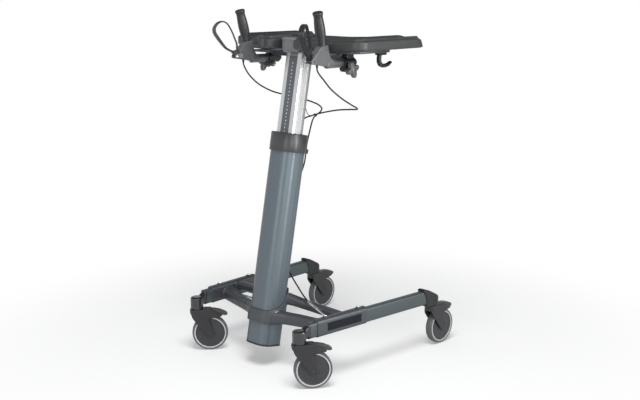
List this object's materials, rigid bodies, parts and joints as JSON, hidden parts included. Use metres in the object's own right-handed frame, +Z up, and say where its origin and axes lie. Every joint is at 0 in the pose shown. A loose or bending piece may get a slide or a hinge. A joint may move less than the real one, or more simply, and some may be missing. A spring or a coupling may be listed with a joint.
{
  "type": "walking table",
  "caption": "Walking table with a horseshoe armrest on a leaning telescopic column, upright grips with brake loops, and a splayed floor frame on braked casters.",
  "frame": {"origin": "on the floor, under the middle of the object's box", "axes": "+Z up; the user stands at +Y between the rails and walks towards -Y; +X is the user's left"},
  "size_m": [0.6485, 0.7495, 1.1836],
  "materials": {
    "blue_grey_paint": "satin",
    "blue_grey_aluminium": "satin",
    "anthracite_casting": "satin",
    "black_plastic": "satin",
    "disc_plastic": "matte",
    "tyre_rubber": "matte",
    "grip_rubber": "matte",
    "pad_foam": "satin",
    "bare_aluminium": "satin",
    "bright_steel": "gloss",
    "strip_plastic": "satin",
    "cable_plastic": "satin"
  },
  "bodies": {
    "base": {"left_rail": "blue_grey_paint", "right_rail": "blue_grey_paint", "base_yoke": "anthracite_casting", "left_front_bracket": "black_plastic", "right_front_bracket": "black_plastic", "left_rear_cap": "black_plastic", "right_rear_cap": "black_plastic", "outer_tube": "blue_grey_aluminium", "foot_cap": "black_plastic", "column_collar": "black_plastic", "glide_bush": "black_plastic", "gas_spring_cylinder": "bright_steel", "left_cable_adjuster": "bright_steel", "right_cable_adjuster": "bright_steel", "left_cable_run": "cable_plastic", "right_cable_run": "cable_plastic"},
    "lift": {"inner_column": "bare_aluminium", "scale_strip": "strip_plastic", "gas_spring_rod": "bright_steel", "tray_frame": "anthracite_casting", "head_cover": "black_plastic", "tray_pad": "pad_foam", "bag_hook": "black_plastic", "left_handle_clamp": "black_plastic", "right_handle_clamp": "black_plastic", "left_cable_slack": "cable_plastic", "right_cable_slack": "cable_plastic"},
    "left_handle_unit": {"left_handle": "black_plastic", "left_grip": "grip_rubber", "left_lever_pin": "bright_steel", "left_cable_hang": "cable_plastic"},
    "right_handle_unit": {"right_handle": "black_plastic", "right_grip": "grip_rubber", "right_lever_pin": "bright_steel", "right_cable_hang": "cable_plastic"},
    "left_lever": {"left_brake_lever": "black_plastic"},
    "right_lever": {"right_brake_lever": "black_plastic"},
    "left_knob": {"left_clamp_knob": "black_plastic"},
    "right_knob": {"right_clamp_knob": "black_plastic"},
    "left_front_caster": {"left_front_fork": "black_plastic", "left_front_axle": "bright_steel"},
    "right_front_caster": {"right_front_fork": "black_plastic", "right_front_axle": "bright_steel"},
    "left_rear_caster": {"left_rear_fork": "black_plastic", "left_rear_axle": "bright_steel"},
    "right_rear_caster": {"right_rear_fork": "black_plastic", "right_rear_axle": "bright_steel"},
    "left_front_wheel": {"left_front_wheel_disc": "disc_plastic", "left_front_tyre": "tyre_rubber"},
    "right_front_wheel": {"right_front_wheel_disc": "disc_plastic", "right_front_tyre": "tyre_rubber"},
    "left_rear_wheel": {"left_rear_wheel_disc": "disc_plastic", "left_rear_tyre": "tyre_rubber"},
    "right_rear_wheel": {"right_rear_wheel_disc": "disc_plastic", "right_rear_tyre": "tyre_rubber"},
    "left_front_pedal": {"left_front_brake_pedal": "black_plastic"},
    "right_front_pedal": {"right_front_brake_pedal": "black_plastic"},
    "left_rear_pedal": {"left_rear_brake_pedal": "black_plastic"},
    "right_rear_pedal": {"right_rear_brake_pedal": "black_plastic"}
  },
  "joints": [
    {"name": "column_lift", "type": "slide", "parent": "base", "child": "lift", "axis": [0, 0.184, 0.9829], "range_m": [-0.22, 0.12], "deforming": ["left_cable_slack", "right_cable_slack"]},
    {"name": "left_handle_slide", "type": "slide", "parent": "lift", "child": "left_handle_unit", "axis": [0, 1, 0], "range_m": [-0.03, 0.008], "deforming": ["left_cable_hang"]},
    {"name": "right_handle_slide", "type": "slide", "parent": "lift", "child": "right_handle_unit", "axis": [0, 1, 0], "range_m": [-0.03, 0.008], "deforming": ["right_cable_hang"]},
    {"name": "left_brake_squeeze", "type": "hinge", "parent": "left_handle_unit", "child": "left_lever", "pos_m": [0.177, -0.219, 1.027], "axis": [0.9063, 0.4226, 0], "range_deg": [-14, 12], "stiffness_Nm_per_rad": 2},
    {"name": "right_brake_squeeze", "type": "hinge", "parent": "right_handle_unit", "child": "right_lever", "pos_m": [-0.177, -0.219, 1.027], "axis": [0.9063, -0.4226, 0], "range_deg": [-14, 12], "stiffness_Nm_per_rad": 2},
    {"name": "left_knob_turn", "type": "hinge", "parent": "lift", "child": "left_knob", "pos_m": [0.211, -0.06, 0.994], "axis": [1, 0, 0], "range_deg": [0, 360]},
    {"name": "right_knob_turn", "type": "hinge", "parent": "lift", "child": "right_knob", "pos_m": [-0.211, -0.06, 0.994], "axis": [-1, 0, 0], "range_deg": [0, 360]},
    {"name": "left_front_swivel", "type": "hinge", "parent": "base", "child": "left_front_caster", "pos_m": [0.258, -0.35, 0.165], "axis": [0, 0, 1], "continuous": true},
    {"name": "right_front_swivel", "type": "hinge", "parent": "base", "child": "right_front_caster", "pos_m": [-0.258, -0.35, 0.165], "axis": [0, 0, 1], "continuous": true},
    {"name": "left_rear_swivel", "type": "hinge", "parent": "base", "child": "left_rear_caster", "pos_m": [0.298, 0.267, 0.165], "axis": [0, 0, 1], "continuous": true},
    {"name": "right_rear_swivel", "type": "hinge", "parent": "base", "child": "right_rear_caster", "pos_m": [-0.298, 0.267, 0.165], "axis": [0, 0, 1], "continuous": true},
    {"name": "left_front_roll", "type": "hinge", "parent": "left_front_caster", "child": "left_front_wheel", "pos_m": [0.28324, -0.31396, 0.0625], "axis": [-0.8192, 0.5736, 0], "continuous": true},
    {"name": "right_front_roll", "type": "hinge", "parent": "right_front_caster", "child": "right_front_wheel", "pos_m": [-0.23031, -0.31581, 0.0625], "axis": [-0.7771, 0.6293, 0], "continuous": true},
    {"name": "left_rear_roll", "type": "hinge", "parent": "left_rear_caster", "child": "left_rear_wheel", "pos_m": [0.298, 0.311, 0.0625], "axis": [-1, 0, 0], "continuous": true},
    {"name": "right_rear_roll", "type": "hinge", "parent": "right_rear_caster", "child": "right_rear_wheel", "pos_m": [-0.298, 0.311, 0.0625], "axis": [-1, 0, 0], "continuous": true},
    {"name": "left_front_pedal_press", "type": "hinge", "parent": "left_front_caster", "child": "left_front_pedal", "pos_m": [0.27865, -0.32051, 0.141], "axis": [-0.8192, 0.5736, 0], "range_deg": [0, 12]},
    {"name": "right_front_pedal_press", "type": "hinge", "parent": "right_front_caster", "child": "right_front_pedal", "pos_m": [-0.23534, -0.32202, 0.141], "axis": [-0.7771, 0.6293, 0], "range_deg": [0, 12]},
    {"name": "left_rear_pedal_press", "type": "hinge", "parent": "left_rear_caster", "child": "left_rear_pedal", "pos_m": [0.298, 0.303, 0.141], "axis": [-1, 0, 0], "range_deg": [0, 12]},
    {"name": "right_rear_pedal_press", "type": "hinge", "parent": "right_rear_caster", "child": "right_rear_pedal", "pos_m": [-0.298, 0.303, 0.141], "axis": [-1, 0, 0], "range_deg": [0, 12]}
  ]
}
